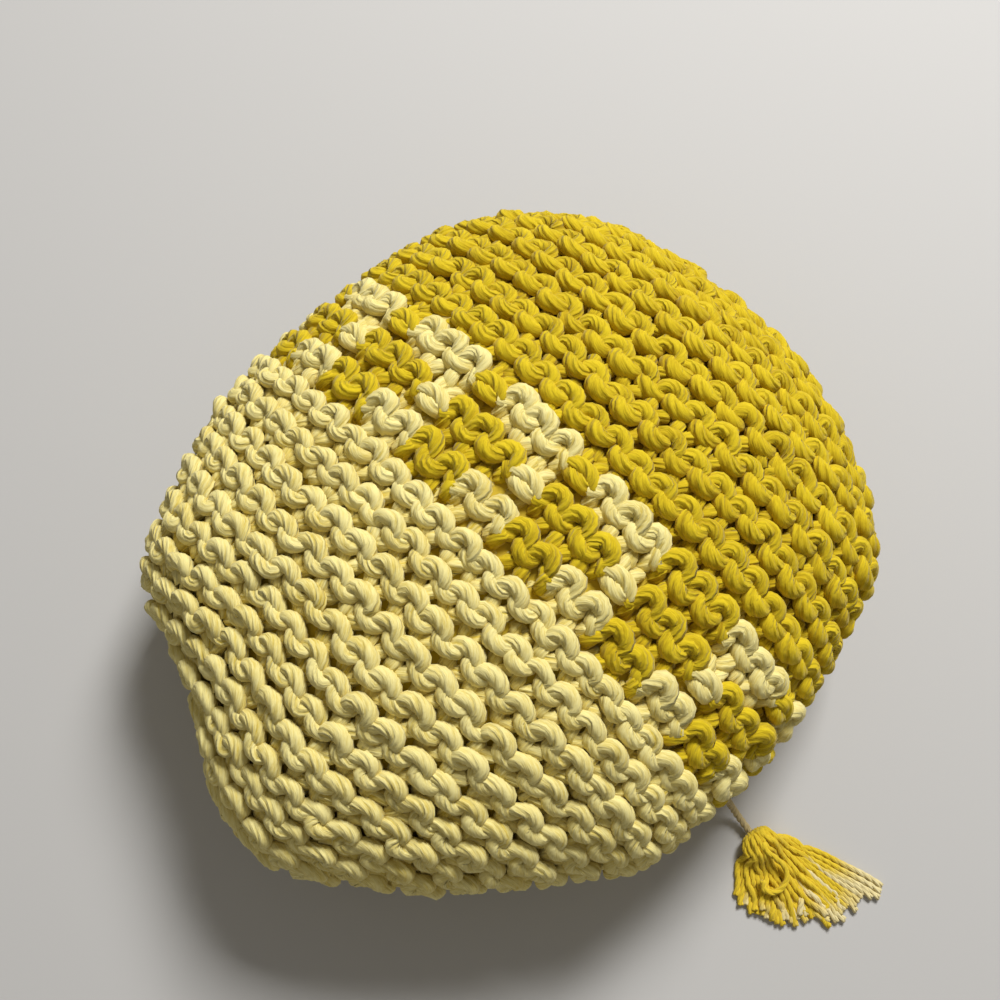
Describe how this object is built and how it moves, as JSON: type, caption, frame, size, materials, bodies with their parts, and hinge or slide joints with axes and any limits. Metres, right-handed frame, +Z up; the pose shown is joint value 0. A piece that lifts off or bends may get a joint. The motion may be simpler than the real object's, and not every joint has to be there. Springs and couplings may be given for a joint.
{
  "type": "chunky knit round pillow",
  "caption": "Round filled pillow in a chunky two-colour garter-stitch cover with a patterned band and a corded tassel, lying on its back.",
  "frame": {"origin": "on the surface it lies on, under the middle of the pillow's box, cord and tassel left out", "axes": "+Z up out of the face, +Y to the top of the face, +X to its right"},
  "size_m": [0.4745, 0.4716, 0.1771],
  "materials": {
    "pale_yarn": "matt pale butter-yellow cotton yarn, loosely plied",
    "mustard_yarn": "matt mustard cotton yarn, loosely plied",
    "golden_yarn": "matt golden and cream cotton strands",
    "cord_yarn": "matt twisted cream cotton cord"
  },
  "bodies": {
    "root": {"pillow": "pale_yarn", "tassel_cord": "cord_yarn", "tassel": "golden_yarn"}
  },
  "joints": []
}
